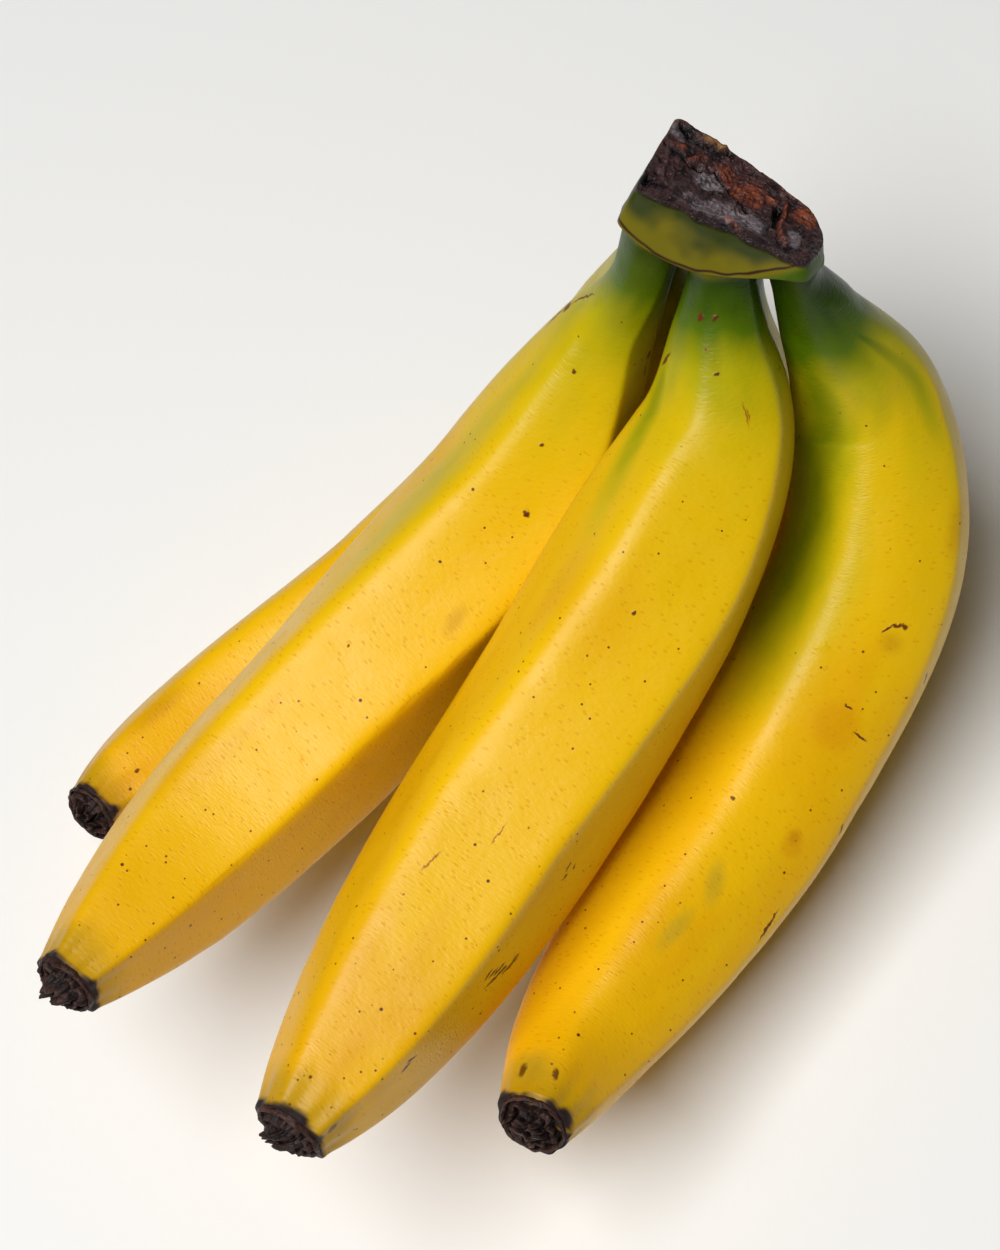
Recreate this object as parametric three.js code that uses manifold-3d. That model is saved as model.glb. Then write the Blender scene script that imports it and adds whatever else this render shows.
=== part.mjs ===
// A bunch of five ripe bananas as it was cut from its stalk: the dry cut crown, three bananas in
// the inner row, two in the outer row behind them, and the dried flower remains at the five tips.
// Millimetres, +Z up. The bunch lies on the curved backs of the two outer bananas with its crown
// towards +Y. The origin is on the surface it rests on, in the middle of the bunch's box.

import * as THREE from 'three';
import { mergeVertices } from 'three/addons/utils/BufferGeometryUtils.js';
import Module from 'manifold-3d';

// Clearance where pieces that touch on the real bunch meet.
const GAP = 0.3;

// The hollow side of the bunch, which all five bananas curve towards. Ridge angles start from it.
const HOLLOW_SIDE = new THREE.Vector3(0.35, -0.26, 0.9).normalize();

// Each banana: the points that its middle line runs through, from inside the crown to the tip,
// the radius of its body, the turn of its five ridges in degrees, the shares of its length between
// which the neck swells to the full body, and how far its fullest part sits towards the tip.
const BANANAS = [
  {
    name: 'banana_inner_left',
    spine: [
      [5.3, 76.1, 123.4], [2.6, 68.3, 102.8], [-3.2, 60.9, 87.2], [-10.5, 33, 62.5],
      [-21, -11.5, 52.5], [-28.5, -49.3, 51.2], [-28.9, -86.1, 65],
    ],
    radius: 18,
    ridgeTurn: -28,
    swell: [0.09, 0.53],
    late: 0.02,
  },
  {
    name: 'banana_inner_middle',
    spine: [
      [16.5, 77.4, 119.5], [19.8, 67, 100.9], [24.2, 55.9, 86], [24.8, 32.7, 73.9],
      [21.4, -17.6, 59.9], [20.8, -65.7, 58.9], [21.3, -87.2, 63.7],
    ],
    radius: 18.9,
    ridgeTurn: -45,
    swell: [0.03, 0.48],
    late: 0.01,
  },
  {
    name: 'banana_inner_right',
    spine: [
      [26.9, 80.9, 115.5], [32, 79.8, 95.1], [41.8, 79, 71.2], [51.5, 60, 50.3],
      [51.6, 15.8, 33], [49.2, -40.5, 35.5], [53.3, -62.4, 48.6],
    ],
    radius: 18.1,
    ridgeTurn: -50,
    swell: [0.02, 0.55],
    late: 0,
  },
  {
    name: 'banana_outer_left',
    spine: [
      [4, 83.6, 115], [-6.2, 80.4, 80], [-15, 69.2, 50], [-37.2, 19.5, 19.3],
      [-54, -19.8, 17], [-60.6, -42.9, 24.8], [-61.5, -52, 28.9],
    ],
    radius: 17.2,
    ridgeTurn: -20,
    swell: [0.08, 0.52],
    late: 0.04,
  },
  {
    name: 'banana_outer_right',
    spine: [
      [16.5, 85, 111], [10.4, 81.1, 79.5], [14.6, 70, 47.5], [17, 50, 24.5],
      [18, 14, 14.5], [21, -12, 17], [22.5, -21, 20],
    ],
    radius: 16.9,
    ridgeTurn: -40,
    swell: [0.085, 0.66],
    late: 0.04,
  },
];

// Shape of every banana: the neck and the tip as shares of the body's radius, where along its
// length the body starts to taper, how suddenly it does, and how sharp and how deep the ridges are.
const NECK_SHARE = 0.3;
const TIP_SHARE = 0.35;
const TAPER_START = 0.5;
const TAPER_POWER = 3.2;
const RIDGES = 5;
const RIDGE_SHARPNESS = 7;
const SECTION_EVENING = 1.06;
const NECK_RIDGE_DEPTH = 0.35;
const RIDGE_FADE = [0.08, 0.35];
const BANANA_RINGS = 26;
const BANANA_SIDES = 30;

// Crown: the middle of its cut face, the long axis of that face and the way that the face looks,
// then the outline of the face as sides of a rounded polygon, each by its angle in degrees round
// the face and its distance from the middle.
const CROWN_CENTRE = new THREE.Vector3(13, 84, 118);
const CROWN_LONG_AXIS = new THREE.Vector3(0.931, 0.201, -0.306);
const CROWN_CUT_NORMAL = new THREE.Vector3(0.133, 0.592, 0.795);
const CROWN_SIDES = [[-95, 13.2], [-10.5, 19.6], [27, 15.1], [67, 8.9], [176, 13.8]];
const CROWN_CORNER_SHARPNESS = 14;
const CROWN_POINTS = 40;
const CROWN_LEVELS = 5;
const CROWN_SWELL = 1.3;
const CROWN_HALF_LENGTH = 18;
const CROWN_HALF_WIDTH = 10;
const CROWN_DEPTH = 12.2;
const CROWN_END_DEPTH = 2.7;
const CROWN_END_EASE = 4;
const CROWN_BACK_SLOPE = 0.2;
const CROWN_ARCH = 7.4;
const CROWN_ARCH_OFFSET = 4;
const CUT_DISH = 1.2;
const CUT_BACK_LIP = 1.2;
const CUT_RINGS = 6;
const TRIM_RINGS = 12;

// Dried flower remains: radius and height of each step of its profile, as shares of the tip's
// radius, with the depth of its five lobes.
const BLOSSOM_PROFILE = [
  [0, 0], [0.9, 0], [0.98, 0.12], [0.82, 0.26], [0.56, 0.38], [0.5, 0.62], [0.56, 0.8], [0.3, 0.9],
  [0, 0.82],
];
const BLOSSOM_SIDES = 15;
const BLOSSOM_LOBE = 0.1;

const SKIN = { color: 0xf0bd1c, roughness: 0.5, metalness: 0 };
const CROWN_SKIN = { color: 0x6b6a10, roughness: 0.6, metalness: 0 };
const BLOSSOM_HUSK = { color: 0x241a16, roughness: 0.85, metalness: 0 };

const wasm = await Module();
wasm.setup();

// A closed geometry as a solid that can be cut.
function solid(geometry) {
  const bare = geometry.clone();
  bare.deleteAttribute('normal');
  bare.deleteAttribute('uv');
  const merged = mergeVertices(bare, 1e-4);
  return new wasm.Manifold(new wasm.Mesh({
    numProp: 3,
    vertProperties: new Float32Array(merged.attributes.position.array),
    triVerts: new Uint32Array(merged.index.array),
  }));
}

// A solid as a geometry again.
function geometryOf(body) {
  const mesh = body.getMesh();
  const geometry = new THREE.BufferGeometry();
  geometry.setAttribute('position', new THREE.BufferAttribute(mesh.vertProperties, 3));
  geometry.setIndex(new THREE.BufferAttribute(mesh.triVerts, 1));
  geometry.computeVertexNormals();
  return geometry;
}

function smooth(low, high, x) {
  const t = THREE.MathUtils.clamp((x - low) / (high - low), 0, 1);
  return t * t * (3 - 2 * t);
}

// Distance from the middle to the edge of a rounded polygon in the direction of an angle. Sides
// are [angle, distance]; a higher sharpness makes tighter corners.
function roundedPolygon(angle, sides, sharpness) {
  let sum = 0;
  for (const [degrees, distance] of sides) {
    const facing = Math.cos(angle - THREE.MathUtils.degToRad(degrees));
    if (facing > 0) sum += (facing / distance) ** sharpness;
  }
  return sum ** (-1 / sharpness);
}

// Rings of points, all with the same number of points, joined into a closed skin with a point at
// either end. The rings run so that the skin faces out.
function closedSkin(rings, firstPole, lastPole) {
  const count = rings[0].length;
  const points = [...rings.flat(), firstPole, lastPole];
  const faces = [];
  const first = points.length - 2;
  const last = points.length - 1;
  for (let i = 0; i < count; i++) {
    const next = (i + 1) % count;
    faces.push(first, next, i);
    for (let ring = 0; ring < rings.length - 1; ring++) {
      const a = ring * count + i;
      const b = ring * count + next;
      faces.push(a, b, b + count, a, b + count, a + count);
    }
    faces.push((rings.length - 1) * count + i, (rings.length - 1) * count + next, last);
  }
  const geometry = new THREE.BufferGeometry().setFromPoints(points);
  geometry.setIndex(faces);
  return geometry;
}

// Radius of a banana at a share of its length: the neck swells to the full body and the body
// tapers to the tip.
function girth(banana, share) {
  const along = share - banana.late * Math.sin(Math.PI * share);
  const [start, end] = banana.swell;
  const x = THREE.MathUtils.clamp((along - start) / (end - start), 0, 1);
  const rise = 1 - (1 - x) ** 4 * (1 + 4 * x);
  const y = Math.max(0, (along - TAPER_START) / (1 - TAPER_START));
  const body = NECK_SHARE + (1 - NECK_SHARE) * rise;
  return banana.radius * body * (1 - (1 - TIP_SHARE) * y ** TAPER_POWER);
}

const REGULAR_SIDES = Array.from({ length: RIDGES }, (_, i) => [(i + 0.5) * 360 / RIDGES, 1]);

// Section of a banana: a circle that the ridges make a rounded pentagon, less so at the neck.
function section(angle, share) {
  const pentagon = roundedPolygon(angle, REGULAR_SIDES, RIDGE_SHARPNESS) / SECTION_EVENING;
  const depth = NECK_RIDGE_DEPTH + (1 - NECK_RIDGE_DEPTH) * smooth(...RIDGE_FADE, share);
  return 1 + depth * (pentagon - 1);
}

// Place and directions at a share of a banana's length: forward runs to the tip, up is towards
// the hollow side of the bunch and side is square to both.
function frameAt(curve, share) {
  const point = curve.getPointAt(share);
  const forward = curve.getTangentAt(share);
  const side = new THREE.Vector3().crossVectors(forward, HOLLOW_SIDE).normalize();
  const up = new THREE.Vector3().crossVectors(side, forward);
  return { point, forward, side, up };
}

function spineOf(banana) {
  const points = banana.spine.map((p) => new THREE.Vector3(...p));
  return new THREE.CatmullRomCurve3(points, false, 'centripetal');
}

// The whole banana from inside the crown to the flat of its tip.
function bananaGeometry(banana) {
  const curve = spineOf(banana);
  const turn = THREE.MathUtils.degToRad(banana.ridgeTurn);
  const rings = [];
  for (let i = 0; i < BANANA_RINGS; i++) {
    const share = i / (BANANA_RINGS - 1);
    const { point, side, up } = frameAt(curve, share);
    const ring = [];
    for (let k = 0; k < BANANA_SIDES; k++) {
      const angle = (k / BANANA_SIDES) * 2 * Math.PI;
      const reach = girth(banana, share) * section(angle, share);
      ring.push(point.clone()
        .addScaledVector(up, reach * Math.cos(angle + turn))
        .addScaledVector(side, reach * Math.sin(angle + turn)));
    }
    rings.push(ring);
  }
  return closedSkin(rings, curve.getPointAt(0), curve.getPointAt(1));
}

// How far the crown reaches below its cut face: its underside arches, deepest to the left of the
// middle, slopes down to the back, where the outer necks start lower, and eases out at the ends.
function crownDepth(x, y) {
  const arch = CROWN_ARCH * ((x + CROWN_ARCH_OFFSET) / CROWN_HALF_LENGTH) ** 2;
  const free = CROWN_DEPTH + CROWN_BACK_SLOPE * y - arch - CROWN_END_DEPTH;
  return CROWN_END_DEPTH + (free + Math.hypot(free, CROWN_END_EASE)) / 2;
}

// Everything over the crown's underside, in the crown's own directions: it trims the necks to fit
// under the crown.
function overCrown() {
  const reach = 2 * CROWN_HALF_LENGTH;
  const circle = (radius, height) => Array.from({ length: CROWN_POINTS }, (_, k) => {
    const angle = (k / CROWN_POINTS) * 2 * Math.PI;
    const [x, y] = [radius * Math.cos(angle), radius * Math.sin(angle)];
    return new THREE.Vector3(x, y, height(x, y));
  });
  const underside = (x, y) => -crownDepth(x, y) - GAP;
  const rings = [];
  for (let i = 1; i <= TRIM_RINGS; i++) {
    rings.push(circle((reach * i) / TRIM_RINGS, underside));
  }
  rings.push(circle(reach, () => reach));
  return closedSkin(rings, new THREE.Vector3(0, 0, underside(0, 0)), new THREE.Vector3(0, 0, reach));
}

// The crown: sides that swell a little below the cut face, an arched underside and a dished face
// with a lip along its back.
function crownGeometry() {
  const outline = (angle, share, swell) => {
    const reach = share * (roundedPolygon(angle, CROWN_SIDES, CROWN_CORNER_SHARPNESS) + swell);
    return [reach * Math.cos(angle), reach * Math.sin(angle)];
  };
  const cutHeight = (y, share) => {
    const lip = CUT_BACK_LIP * smooth(0, CROWN_HALF_WIDTH, y);
    return lip - CUT_DISH * (1 - share ** 4);
  };
  const rings = [];
  const addRing = (share, swell, height) => {
    const ring = [];
    for (let k = 0; k < CROWN_POINTS; k++) {
      const [x, y] = outline((k / CROWN_POINTS) * 2 * Math.PI, share, swell);
      ring.push(new THREE.Vector3(x, y, height(x, y)));
    }
    rings.push(ring);
  };
  for (let i = 1; i < CUT_RINGS; i++) {
    addRing(i / CUT_RINGS, CROWN_SWELL, (x, y) => -crownDepth(x, y));
  }
  for (let level = CROWN_LEVELS; level >= 0; level--) {
    const down = level / CROWN_LEVELS;
    const swell = CROWN_SWELL * Math.sin(down * Math.PI / 2);
    addRing(1, swell, (x, y) => (1 - down) * cutHeight(y, 1) - down * crownDepth(x, y));
  }
  for (let i = CUT_RINGS - 1; i > 0; i--) {
    addRing(i / CUT_RINGS, 0, (x, y) => cutHeight(y, i / CUT_RINGS));
  }
  const underside = new THREE.Vector3(0, 0, -crownDepth(0, 0));
  return closedSkin(rings, underside, new THREE.Vector3(0, 0, cutHeight(0, 0)));
}

// Dried flower remains on a tip: a lobed button with a short stub, turned from its profile.
function blossomGeometry(tipRadius) {
  const profile = BLOSSOM_PROFILE.map(([r, h]) => new THREE.Vector2(r * tipRadius, h * tipRadius));
  const button = new THREE.LatheGeometry(profile, BLOSSOM_SIDES);
  button.rotateX(Math.PI / 2);
  const position = button.attributes.position;
  for (let i = 0; i < position.count; i++) {
    const angle = Math.atan2(position.getY(i), position.getX(i));
    const lobe = 1 + BLOSSOM_LOBE * (Math.cos(RIDGES * angle) - 1);
    position.setXY(i, position.getX(i) * lobe, position.getY(i) * lobe);
  }
  return button;
}

function mesh(name, geometry, look) {
  const made = new THREE.Mesh(geometry, new THREE.MeshStandardMaterial(look));
  made.name = name;
  return made;
}

const bunch = new THREE.Group();

const crownY = new THREE.Vector3().crossVectors(CROWN_CUT_NORMAL, CROWN_LONG_AXIS).normalize();
const crownX = new THREE.Vector3().crossVectors(crownY, CROWN_CUT_NORMAL).normalize();
const crownZ = new THREE.Vector3().crossVectors(crownX, crownY);
const crownPlace = new THREE.Matrix4().makeBasis(crownX, crownY, crownZ).setPosition(CROWN_CENTRE);

const crown = mesh('crown', crownGeometry(), CROWN_SKIN);
crown.applyMatrix4(crownPlace);
bunch.add(crown);

// The surface that the bunch lies on, which presses a small flat on each outer banana.
const tableSize = 400;
const table = new THREE.BoxGeometry(tableSize, tableSize, tableSize).translate(0, 0, -tableSize / 2);
const trimmings = solid(overCrown().applyMatrix4(crownPlace)).add(solid(table));

for (const banana of BANANAS) {
  const body = solid(bananaGeometry(banana)).subtract(trimmings);
  bunch.add(mesh(banana.name, geometryOf(body), SKIN));

  const { point, forward } = frameAt(spineOf(banana), 1);
  const blossom = mesh(
    banana.name.replace('banana', 'blossom_end'),
    blossomGeometry(girth(banana, 1)),
    BLOSSOM_HUSK,
  );
  blossom.quaternion.setFromUnitVectors(new THREE.Vector3(0, 0, 1), forward);
  blossom.position.copy(point).addScaledVector(forward, GAP);
  bunch.add(blossom);
}

export default bunch;
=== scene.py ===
import math

import bpy
import numpy as np
from bpy.props import FloatProperty, FloatVectorProperty, IntProperty, PointerProperty
from mathutils import Matrix, Vector


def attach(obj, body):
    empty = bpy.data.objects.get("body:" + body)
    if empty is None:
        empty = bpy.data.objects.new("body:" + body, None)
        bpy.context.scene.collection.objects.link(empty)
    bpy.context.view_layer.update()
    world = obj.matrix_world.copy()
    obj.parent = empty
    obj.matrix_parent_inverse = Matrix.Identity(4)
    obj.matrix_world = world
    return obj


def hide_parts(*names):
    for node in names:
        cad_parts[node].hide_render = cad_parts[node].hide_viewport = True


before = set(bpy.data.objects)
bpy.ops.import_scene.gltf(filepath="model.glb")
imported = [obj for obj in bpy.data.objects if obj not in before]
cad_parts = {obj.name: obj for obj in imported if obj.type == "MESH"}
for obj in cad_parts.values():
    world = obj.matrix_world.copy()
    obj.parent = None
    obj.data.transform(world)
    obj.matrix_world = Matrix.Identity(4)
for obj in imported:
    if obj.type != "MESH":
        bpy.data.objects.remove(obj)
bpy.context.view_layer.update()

bl_info = {
    "name": "Bunch of bananas",
    "version": (1, 0, 0),
    "blender": (4, 5, 0),
    "location": "View3D > Sidebar > Bananas",
    "description": "Dresses a bunch of ripe bananas: the peels, the cut crown and the dry blossom ends",
    "category": "Object",
}

MM = 0.001

# The hollow side of the bunch, which all the bananas curve towards. Angles round a banana start
# from it and grow towards the left of the bunch.
HOLLOW_SIDE = np.array([0.35, -0.26, 0.9])

# Each banana in millimetres and degrees: the points of its middle line from the crown to the tip,
# the radius of its body, how much of its length the neck swells over and how far its fullest part
# sits towards the tip, as in the solids. Its first ridge turns from one angle near the neck to
# another near the tip, where the solids keep one. It may be fuller at a share and an angle by some
# millimetres, and less angular than the others. Then its looks: how far the green of the neck
# reaches; green streaks, each from a share and an angle to a share and an angle, with its half
# width in degrees and its strength; and its marks, each with its kind, share, angle, length, width
# and turn away from the banana's length.
BANANAS = {
    "banana_inner_left": {
        "spine": [
            [5.3, 76.1, 123.4], [2.6, 68.3, 102.8], [-3.2, 60.9, 87.2], [-10.5, 33, 62.5],
            [-21, -11.5, 52.5], [-28.5, -49.3, 51.2], [-28.9, -86.1, 65],
        ],
        "radius": 18, "ridge_turn": (-44, -27), "swell": [0.09, 0.53], "late": 0.02,
        "green_reach": 1.1,
        "streaks": [(0.1, 52, 0.62, 56, 20, 0.2), (0.08, -70, 0.32, -52, 22, 0.4)],
        "marks": [
            ("scar", 0.163, 75.2, 7.8, 0.5, 18), ("scar", 0.187, 86.3, 1.9, 1.8, -36),
            ("scar", 0.202, 89, 4.3, 0.5, 0), ("scar", 0.364, -13.3, 1.4, 0.8, -69),
            ("scar", 0.363, -14, 1.2, 0.8, 0), ("scar", 0.212, 9.5, 0.7, 0.6, 0),
            ("scar", 0.291, 3, 0.8, 0.7, 0), ("scar", 0.465, 11, 0.7, 0.6, 0),
            ("scar", 0.586, 17.5, 0.7, 0.6, 0), ("rub", 0.5, -20.2, 6, 2.5, -6),
        ],
    },
    "banana_inner_middle": {
        "spine": [
            [16.5, 77.4, 119.5], [19.8, 67, 100.9], [24.2, 55.9, 86], [24.8, 32.7, 73.9],
            [21.4, -17.6, 59.9], [20.8, -65.7, 58.9], [21.3, -87.2, 63.7],
        ],
        "radius": 18.9, "ridge_turn": (-45, -31), "swell": [0.03, 0.48], "late": 0.01,
        "green_reach": 0.95,
        "streaks": [(0.14, 82, 0.4, 47, 15, 0.5), (0.1, -60, 0.26, -60, 16, 0.45)],
        "marks": [
            ("scratch", 0.176, -15.8, 4.3, 0.35, -13), ("scratch", 0.177, -18.2, 2.4, 0.3, -13),
            ("scratch", 0.723, 23.3, 4.6, 0.4, 15), ("scratch", 0.663, -0.7, 5.2, 0.25, 2),
            ("scar", 0.781, -47.2, 2.6, 0.8, -4), ("scar", 0.778, -58, 5, 0.8, 14),
            ("scar", 0.766, -60.8, 2.4, 0.7, 12), ("scar", 0.758, -66, 4.5, 0.9, 16),
            ("scar", 0.749, -65.5, 2.1, 0.6, 12), ("scar", 0.776, -51.5, 2.4, 0.6, 12),
            ("scar", 0.769, -55.5, 3, 0.7, 14), ("scar", 0.65, -50.5, 1.9, 0.7, -20),
            ("scar", 0.66, -55, 1.7, 0.6, 25), ("scar", 0.646, -58, 1.3, 0.5, -35),
            ("scar", 0.137, 83, 3.5, 0.7, 35), ("scar", 0.134, 10.3, 1.2, 0.6, 73),
            ("scar", 0.084, 35, 2, 1, 18), ("scar", 0.081, 13.3, 1.3, 0.9, 39),
            ("scar", 0.404, 1.5, 0.9, 0.7, 0), ("scar", 0.889, -42.5, 2.2, 0.6, 8),
            ("scar", 0.898, -45.5, 2.4, 0.7, -7), ("scar", 0.985, -41.2, 1.8, 1.5, -28),
            ("rub", 0.972, -44, 5, 3.4, 5),
        ],
    },
    "banana_inner_right": {
        "spine": [
            [26.9, 80.9, 115.5], [32, 79.8, 95.1], [41.8, 79, 71.2], [51.5, 60, 50.3],
            [51.6, 15.8, 33], [49.2, -40.5, 35.5], [53.3, -62.4, 48.6],
        ],
        "radius": 18.1, "ridge_turn": (-46, -54), "swell": [0.02, 0.55], "late": 0,
        "green_reach": 1.05, "fuller": (0.22, 112, 3), "angular": 0.55,
        "streaks": [
            (0.02, -6, 0.3, -44, 14, 0.75), (0.1, 68, 0.6, 52, 36, 0.6), (0.04, 10, 0.2, 20, 40, 0.6),
        ],
        "marks": [
            ("scar", 0.416, -14.7, 2.3, 0.5, 30), ("scar", 0.41, -19.7, 2.2, 0.6, 75),
            ("scar", 0.409, -24.5, 1.1, 1.2, 21), ("rub", 0.427, -21, 3.6, 3.8, 5),
            ("scar", 0.497, -15.5, 0.5, 1.8, 8), ("scar", 0.517, -31.3, 0.5, 3, 10),
            ("deep", 0.519, -15.2, 10, 9.5, -20), ("rub", 0.634, -29, 2.8, 2.2, -19),
            ("deep", 0.641, -30.7, 5, 4.4, -14), ("bruise", 0.716, -3, 7.5, 3.2, -20),
            ("bruise", 0.776, -0.5, 9, 2.8, 4), ("scar", 0.603, -53.8, 2.2, 0.8, -33),
            ("scar", 0.711, -50, 6.4, 0.5, -9), ("scar", 0.446, -56.7, 2.7, 0.9, -36),
            ("rub", 0.325, -42.8, 8, 3, 5), ("scar", 0.978, 60, 2.6, 1.4, 8),
            ("scar", 0.978, 15, 2.3, 0.9, -21), ("bruise", 0.975, 52, 6, 7, -8),
            ("ring", 0.455, 16.5, 2.2, 2.2, 0), ("scar", 0.638, 16, 0.8, 0.7, 0),
        ],
    },
    "banana_outer_left": {
        "spine": [
            [4, 83.6, 115], [-6.2, 80.4, 80], [-15, 69.2, 50], [-37.2, 19.5, 19.3],
            [-54, -19.8, 17], [-60.6, -42.9, 24.8], [-61.5, -52, 28.9],
        ],
        "radius": 17.2, "ridge_turn": (-20, -20), "swell": [0.08, 0.52], "late": 0.04,
        "green_reach": 1.3,
        "streaks": [(0.2, 20, 0.8, 20, 14, 0.4), (0.1, 160, 0.4, 150, 30, 0.5)],
        "marks": [
            ("rub", 0.9, 45, 12, 3, 0), ("scar", 0.955, 5, 1.2, 0.8, 0),
            ("scar", 0.6, 150, 5, 0.8, 12), ("rub", 0.5, -110, 14, 5, 0),
        ],
    },
    "banana_outer_right": {
        "spine": [
            [16.5, 85, 111], [10.4, 81.1, 79.5], [14.6, 70, 47.5], [17, 50, 24.5],
            [18, 14, 14.5], [21, -12, 17], [22.5, -21, 20],
        ],
        "radius": 16.9, "ridge_turn": (-40, -40), "swell": [0.085, 0.66], "late": 0.04,
        "green_reach": 1.6,
        "streaks": [(0.2, 150, 0.6, 140, 30, 0.5)],
        "marks": [
            ("scar", 0.42, 175, 6, 0.7, 8), ("rub", 0.6, 160, 12, 4, 0),
            ("scar", 0.9, 150, 2.2, 1.2, 0),
        ],
    },
}

# Shape of every banana, as shares of its radius and its length.
NECK_SHARE = 0.3
TIP_SHARE = 0.35
TAPER_START = 0.5
TAPER_POWER = 3.2
RIDGES = 5
RIDGE_SHARPNESS = 7
SECTION_EVENING = 1.06

# The first ridge of every banana is sharper than the others: by how much, how much wider that makes
# the section for each step of sharpness, and how far round it reaches, in degrees. It turns between
# these shares of the length. How angular a neck is, and the shares between which that grows to 1.
FIRST_RIDGE_SHARPER = 9
SHARPER_WIDENING = 0.0025
FIRST_RIDGE_REACH = 55
RIDGE_TURN_PLACES = [0.35, 0.65]
NECK_ANGULARITY = 0.35
ANGULAR_PLACES = (0.08, 0.35)
FULLER_REACH = 0.07

# The crown in millimetres: its place, its outline as sides [angle, distance], and its depth.
CROWN_CENTRE = np.array([13, 84, 118])
CROWN_LONG_AXIS = np.array([0.931, 0.201, -0.306])
CROWN_CUT_NORMAL = np.array([0.133, 0.592, 0.795])
CROWN_SIDES = [(-95, 13.2), (-10.5, 19.6), (27, 15.1), (67, 8.9), (176, 13.8)]
CROWN_CORNER_SHARPNESS = 14
CROWN_SWELL = 1.3
CROWN_HALF_LENGTH = 18
CROWN_HALF_WIDTH = 10
CROWN_DEPTH = 12.2
CROWN_END_DEPTH = 2.7
CROWN_END_EASE = 4
CROWN_BACK_SLOPE = 0.2
CROWN_ARCH = 7.4
CROWN_ARCH_OFFSET = 4
CUT_DISH = 1.2
CUT_BACK_LIP = 1.2
NECK_SINK = 3.8

# Points round the crown, and its rings over the underside, up the side and over the cut.
CROWN_COLUMNS = 320
UNDER_RINGS = 14
SIDE_RINGS = 46
CUT_RINGS = 100

# How much of a banana counts as its neck when it is joined, and the steps along that are measured.
NECK_PART = 0.34
NECK_STEPS = 240

# How the green of a neck fades along a banana: shares of its length, and how green it is there. The
# darkest green next to the crown is partly the neck's own green and partly painted shade from the
# crown.
GREEN_PLACES = [0, 0.05, 0.08, 0.11, 0.14, 0.2, 0.3, 0.42, 0.6]
GREEN_SHARES = [1.05, 1.0, 0.88, 0.64, 0.4, 0.17, 0.07, 0.03, 0]

# The stage in metres: half the floor's width and its squares along a side; what the key light
# points at, the way and the distance from there to it and its width; and the camera's place, its
# own right, up and back directions, and its sensor and lens in millimetres.
FLOOR_HALF_WIDTH = 1.6
FLOOR_SQUARES = 24
LIT_PLACE = (0, 0, 0.05)
KEY_WAY = (-0.06, -0.3, 0.95)
KEY_DISTANCE = 1.3
KEY_WIDTH = 0.8
CAMERA_PLACE = (0.1972, -0.1315, 0.5646)
CAMERA_TURN = ((0.8266, 0.5365, -0.1701), (-0.4395, 0.8041, 0.4002), (0.3515, -0.2561, 0.9005))
CAMERA_SENSOR = 36
CAMERA_LENS = 87.12


def linear(colour):
    """An sRGB hex colour such as #F2BE1A as linear red, green and blue."""
    shares = [int(colour[i : i + 2], 16) / 255 for i in (1, 3, 5)]
    return tuple(c / 12.92 if c <= 0.04045 else ((c + 0.055) / 1.055) ** 2.4 for c in shares)


# Sizes and colours that can be changed


def length(name, description, default):
    return FloatProperty(
        name=name, description=description, default=default * MM, unit="LENGTH", precision=5
    )


def paint(name, description, default):
    return FloatVectorProperty(
        name=name, description=description, default=linear(default), subtype="COLOR", size=3,
        min=0, max=1,
    )


class PeelSettings(bpy.types.PropertyGroup):
    rows: IntProperty(name="Rows", description="Rings of points along a banana", default=360)
    columns: IntProperty(name="Columns", description="Points round a banana", default=190)
    crest: length("Ridge crest", "How far a ridge stands proud of the rounded section", 0.15)
    crest_width: length("Ridge width", "Half width of the crest on a ridge", 0.9)
    waves: length("Waves", "Height of the slow waves in the skin", 0.4)
    join: length("Join", "Reach of the fillet where necks and crown grow together", 2.6)
    ripe: paint("Ripe yellow", "Main colour of the ripe peel", "#F2BD06")
    ochre: paint("Ochre", "Warmer patches and fine dashes of the ripe peel", "#D98F04")
    turning: paint("Greenish yellow", "Yellow with a first breath of green", "#DAB808")
    unripe: paint("Yellow-green", "Where the neck's green fades into yellow", "#AFA506")
    neck: paint("Neck green", "The green of the necks", "#506900")
    # The darkest green is partly painted shade: the crown's shadow on the tops of the necks.
    shade: paint("Dark green", "The darkest green, at the crown", "#2A4200")
    rubbed: paint("Rubbed brown", "Rubbed ridges and scratches", "#A0590C")
    stale: paint("Stale olive", "Old skin close to the blossom end", "#7E6A12")
    dry: paint("Dry skin", "Dead skin round the blossom end", "#241516")
    scar: paint("Scar", "Scars and dark specks", "#62290B")
    speck: paint("Speck", "The smallest specks", "#7C3E0C")
    bruise: paint("Bruise", "Grey-green bruises", "#8F8A30")
    parting: paint("Parting", "The brown line between necks and crown", "#33180A")


class CrownSettings(bpy.types.PropertyGroup):
    relief: FloatProperty(
        name="Relief", description="Strength of the torn relief of the cut", default=1.0
    )
    skin: paint("Crown skin", "Olive skin below the cut", "#6E6406")
    skin_green: paint("Crown green", "Greener patches of that skin", "#30380A")
    # The cut hollows colour is near black: painted shade for the cut's cracks and sunken places.
    hollow: paint("Cut hollows", "Deep cracks of the dried cut", "#050303")
    dark: paint("Cut dark", "Darker parts of the dried cut", "#21161A")
    cut: paint("Cut", "The dried cut, purple-brown", "#4A3130")
    # Cut bloom is grey bloom that also paints the cut's glints: partly real, partly painted reflection.
    bloom_and_glint: paint("Cut bloom", "Grey bloom on the dried cut", "#877C80")
    rust: paint("Cut rust", "Rusty patches of the dried cut", "#8A4428")
    torn: paint("Torn peel", "The torn edge of the peel", "#A8743F")


class BlossomSettings(bpy.types.PropertyGroup):
    # Husk dark is partly painted shade: the recesses keep it, while the raised edges take husk light.
    dark: paint("Husk dark", "The hollows of the blossom end", "#110A0A")
    light: paint("Husk light", "The dry edges of the blossom end", "#5A3A30")


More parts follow.
